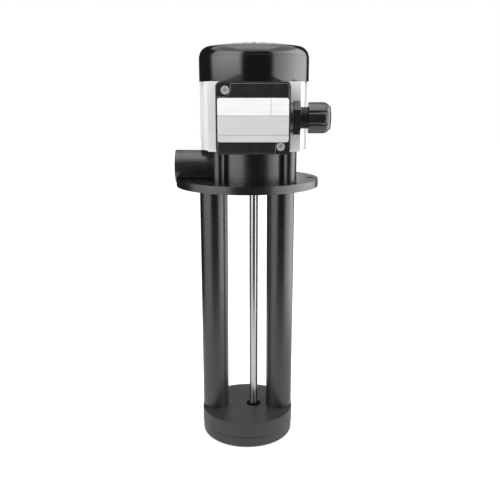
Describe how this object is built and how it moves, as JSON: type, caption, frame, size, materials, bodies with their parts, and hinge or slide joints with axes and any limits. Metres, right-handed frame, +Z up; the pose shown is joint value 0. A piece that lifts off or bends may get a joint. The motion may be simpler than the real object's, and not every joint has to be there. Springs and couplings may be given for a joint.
{
  "type": "coolant pump",
  "caption": "Vertical immersion coolant pump: motor with terminal box and gland over a mounting flange, two columns and an open shaft down to a disc-shaped impeller casing.",
  "frame": {"origin": "centre of the mounting flange's underside, which is also the centre of the bolt pattern", "axes": "+Z up along the motor and away from the tank, -X towards the outlet, -Y towards the terminal box's lid"},
  "size_m": [0.1342, 0.1345, 0.3712],
  "materials": {
    "moulded_body": "satin moulded nylon",
    "moulded_base": "matte moulded nylon",
    "cap_gloss": "glossy moulded plastic",
    "box_plastic": "fine satin moulded plastic",
    "gland_plastic": "satin moulded nylon",
    "housing_aluminium": "satin anodised extrusion",
    "cast_aluminium": "die cast",
    "shaft_steel": "ground stainless",
    "screw_steel": "bright zinc plated",
    "bearing_steel": "ground and polished",
    "lamination_steel": "stacked sheet steel",
    "winding_copper": "enamelled wire",
    "seal_rubber": "matte rubber",
    "impeller_brass": "cast and turned",
    "terminal_brass": "machined",
    "block_plastic": "cream thermoset",
    "lead_insulation": "silicone sleeve",
    "plate_metal": "bare satin sheet"
  },
  "bodies": {
    "pump_body": {"pump_head": "moulded_body", "column_body": "moulded_body", "flange_screws": "screw_steel", "pipe_seal": "seal_rubber", "volute_casing": "moulded_base", "column_screws": "screw_steel", "suction_cover": "moulded_base", "cover_screws": "screw_steel", "volute_seal": "seal_rubber", "shaft_lip_seal": "seal_rubber", "lower_end_shield": "cast_aluminium", "lower_bearing_outer": "bearing_steel", "upper_end_shield": "cast_aluminium", "upper_bearing_outer": "bearing_steel", "preload_spring": "screw_steel", "stator_core": "lamination_steel", "stator_windings": "winding_copper", "motor_housing": "housing_aluminium", "tie_bolts": "screw_steel", "fan_cover": "cap_gloss", "fan_cover_screws": "screw_steel", "box_gasket": "seal_rubber", "terminal_box": "box_plastic", "box_screws": "screw_steel", "terminal_block": "block_plastic", "terminal_screws": "terminal_brass", "earth_screw": "terminal_brass", "motor_leads": "lead_insulation", "lid_gasket": "seal_rubber", "box_lid": "box_plastic", "lid_screws": "screw_steel", "nameplate": "plate_metal", "gland_washer": "seal_rubber", "gland_body": "gland_plastic", "gland_seal": "seal_rubber"},
    "rotor": {"motor_shaft": "shaft_steel", "rotor_core": "lamination_steel", "rotor_cage": "cast_aluminium", "cooling_fan": "moulded_body", "fan_clip": "screw_steel", "slinger_ring": "seal_rubber", "impeller": "impeller_brass", "impeller_key": "screw_steel", "impeller_washer": "screw_steel", "impeller_nut": "screw_steel", "impeller_stop_ring": "screw_steel", "lower_bearing_inner": "bearing_steel", "upper_bearing_inner": "bearing_steel"},
    "lower_balls": {"lower_bearing_balls": "bearing_steel"},
    "upper_balls": {"upper_bearing_balls": "bearing_steel"},
    "gland_ring": {"gland_slip_ring": "gland_plastic"},
    "gland_nut": {"gland_cap": "gland_plastic"}
  },
  "joints": [
    {"name": "rotor_spin", "type": "hinge", "parent": "pump_body", "child": "rotor", "pos_m": [0.0061, 0, 0], "axis": [0, 0, 1], "continuous": true},
    {"name": "lower_balls_roll", "type": "hinge", "parent": "pump_body", "child": "lower_balls", "pos_m": [0.0061, 0, 0.0385], "axis": [0, 0, 1], "continuous": true},
    {"name": "upper_balls_roll", "type": "hinge", "parent": "pump_body", "child": "upper_balls", "pos_m": [0.0061, 0, 0.0903], "axis": [0, 0, 1], "continuous": true},
    {"name": "gland_travel", "type": "slide", "parent": "pump_body", "child": "gland_ring", "axis": [1, 0, 0], "range_m": [0, 0.003]},
    {"name": "gland_turn", "type": "hinge", "parent": "gland_ring", "child": "gland_nut", "pos_m": [0.0586, -0.05025, 0.0628], "axis": [1, 0, 0], "range_deg": [0, 720]}
  ],
  "couplings": [
    {"joint": "lower_balls_roll", "follows": "rotor_spin", "ratio": 0.36767},
    {"joint": "upper_balls_roll", "follows": "rotor_spin", "ratio": 0.36767},
    {"joint": "gland_travel", "follows": "gland_turn", "m_per_rad": 0.00023873}
  ]
}
